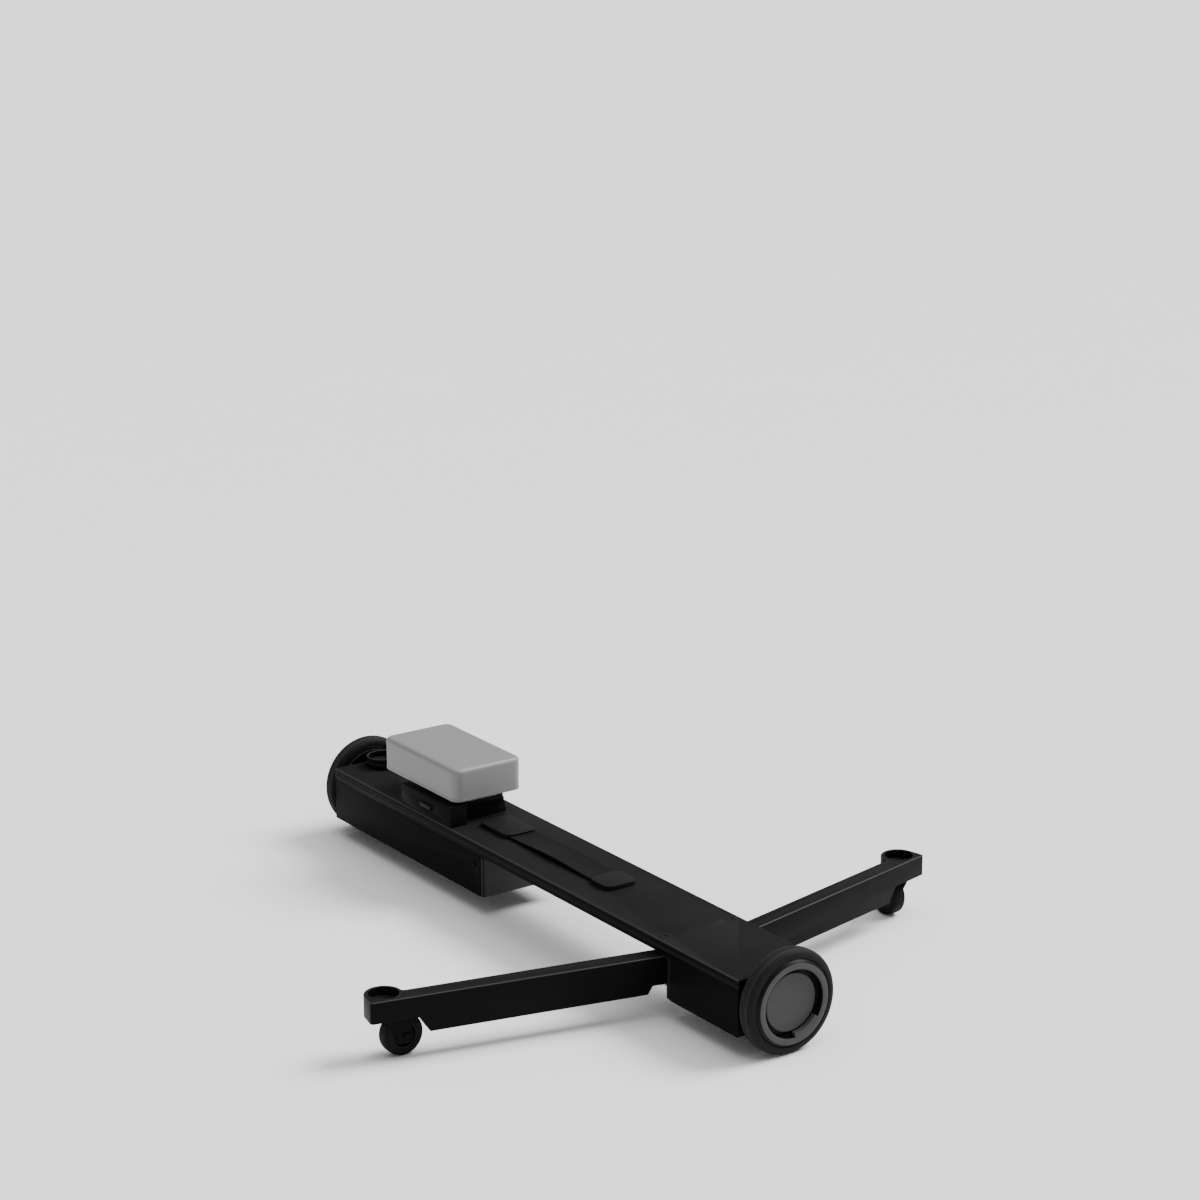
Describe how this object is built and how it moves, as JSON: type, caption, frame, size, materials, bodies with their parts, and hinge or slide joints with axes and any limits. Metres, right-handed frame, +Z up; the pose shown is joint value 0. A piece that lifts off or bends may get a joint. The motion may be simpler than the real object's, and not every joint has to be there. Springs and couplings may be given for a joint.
{
  "type": "motorized camera dolly",
  "caption": "Low motorized camera dolly: a long black beam with a driven wheel at each end, folding arms on caster wheels, cups for tripod feet, and a battery.",
  "frame": {"origin": "on the floor under the middle of the beam", "axes": "+X runs along the beam towards the right wheel, the one beside the arms; +Y points to the rear arm; +Z is up. Front pieces are at -Y."},
  "size_m": [0.9, 0.7708, 0.164],
  "materials": {
    "deck": "black anodised, fine satin",
    "housing": "smooth black anodised",
    "inner_cap": "dark grey satin",
    "tyre": "black rubber",
    "pad": "black rubber",
    "strap": "black moulded rubber",
    "nylon": "black nylon",
    "rim": "dark grey satin",
    "hub_cap": "grey satin",
    "battery_shell": "light grey",
    "cells": "blue sleeve",
    "steel": "machined steel",
    "fork": "black paint",
    "block": "machined aluminium",
    "circuit": "green circuit board"
  },
  "bodies": {
    "beam": {"deck_plate": "deck", "bay_cover": "housing", "pivot_block": "block", "left_housing": "housing", "right_housing": "housing", "left_bottom_hatch": "nylon", "right_bottom_hatch": "nylon", "left_inner_cap": "inner_cap", "right_inner_cap": "inner_cap", "left_end_plate": "deck", "right_end_plate": "deck", "left_wheel_bearing": "steel", "right_wheel_bearing": "steel", "left_gearbox": "steel", "right_gearbox": "steel", "left_motor": "fork", "right_motor": "fork", "front_pivot_pin": "steel", "rear_pivot_pin": "steel", "front_pivot_screw": "deck", "rear_pivot_screw": "deck", "front_pivot_washer": "nylon", "rear_pivot_washer": "nylon", "beam_foot_cup": "deck", "beam_cup_pad": "pad", "battery_saddle": "housing", "battery_plate": "nylon", "carry_strap": "strap", "strap_left_cap": "nylon", "strap_right_cap": "nylon", "controller_board": "circuit"},
    "left_wheel": {"left_tyre": "tyre", "left_rim": "rim", "left_hub_cap": "hub_cap", "left_axle": "steel"},
    "right_wheel": {"right_tyre": "tyre", "right_rim": "rim", "right_hub_cap": "hub_cap", "right_axle": "steel"},
    "front_arm_group": {"front_arm": "deck", "front_foot_cup": "deck", "front_cup_pad": "pad", "front_swivel_bearing": "steel"},
    "rear_arm_group": {"rear_arm": "deck", "rear_foot_cup": "deck", "rear_cup_pad": "pad", "rear_swivel_bearing": "steel"},
    "front_caster": {"front_caster_fork": "fork", "front_caster_nut": "steel"},
    "rear_caster": {"rear_caster_fork": "fork", "rear_caster_nut": "steel"},
    "front_caster_wheel": {"front_caster_tyre": "tyre", "front_caster_hub": "nylon"},
    "rear_caster_wheel": {"rear_caster_tyre": "tyre", "rear_caster_hub": "nylon"},
    "battery": {"battery_case": "battery_shell", "battery_base": "battery_shell", "battery_cells": "cells"},
    "battery_release": {"release_button": "nylon"},
    "power": {"power_button": "fork"}
  },
  "joints": [
    {"name": "left_wheel_spin", "type": "hinge", "parent": "beam", "child": "left_wheel", "pos_m": [-0.43785, 0, 0.06], "axis": [1, 0, 0], "continuous": true},
    {"name": "right_wheel_spin", "type": "hinge", "parent": "beam", "child": "right_wheel", "pos_m": [0.43785, 0, 0.06], "axis": [1, 0, 0], "continuous": true},
    {"name": "front_arm_fold", "type": "hinge", "parent": "beam", "child": "front_arm_group", "pos_m": [0.278, -0.0455, 0.052], "axis": [0, 0, 1], "range_deg": [-77.4, 0]},
    {"name": "front_caster_swivel", "type": "hinge", "parent": "front_arm_group", "child": "front_caster", "pos_m": [0.19915, -0.35013, 0.05], "axis": [0, 0, 1], "continuous": true},
    {"name": "front_caster_spin", "type": "hinge", "parent": "front_caster", "child": "front_caster_wheel", "pos_m": [0.19915, -0.34114, 0.024], "axis": [1, 0, 0], "continuous": true},
    {"name": "rear_arm_fold", "type": "hinge", "parent": "beam", "child": "rear_arm_group", "pos_m": [0.278, 0.0455, 0.052], "axis": [0, 0, 1], "range_deg": [0, 77.4]},
    {"name": "rear_caster_swivel", "type": "hinge", "parent": "rear_arm_group", "child": "rear_caster", "pos_m": [0.19915, 0.35013, 0.05], "axis": [0, 0, 1], "continuous": true},
    {"name": "rear_caster_spin", "type": "hinge", "parent": "rear_caster", "child": "rear_caster_wheel", "pos_m": [0.19015, 0.35013, 0.024], "axis": [0, 1, 0], "continuous": true},
    {"name": "battery_slide", "type": "slide", "parent": "beam", "child": "battery", "axis": [1, 0, 0], "range_m": [0, 0.046]},
    {"name": "release_press", "type": "slide", "parent": "beam", "child": "battery_release", "axis": [0, 1, 0], "range_m": [0, 0.002], "stiffness_N_per_m": 600, "springref_m": -0.001},
    {"name": "power_press", "type": "slide", "parent": "beam", "child": "power", "axis": [0, 1, 0], "range_m": [0, 0.001], "stiffness_N_per_m": 800, "springref_m": -0.001}
  ]
}
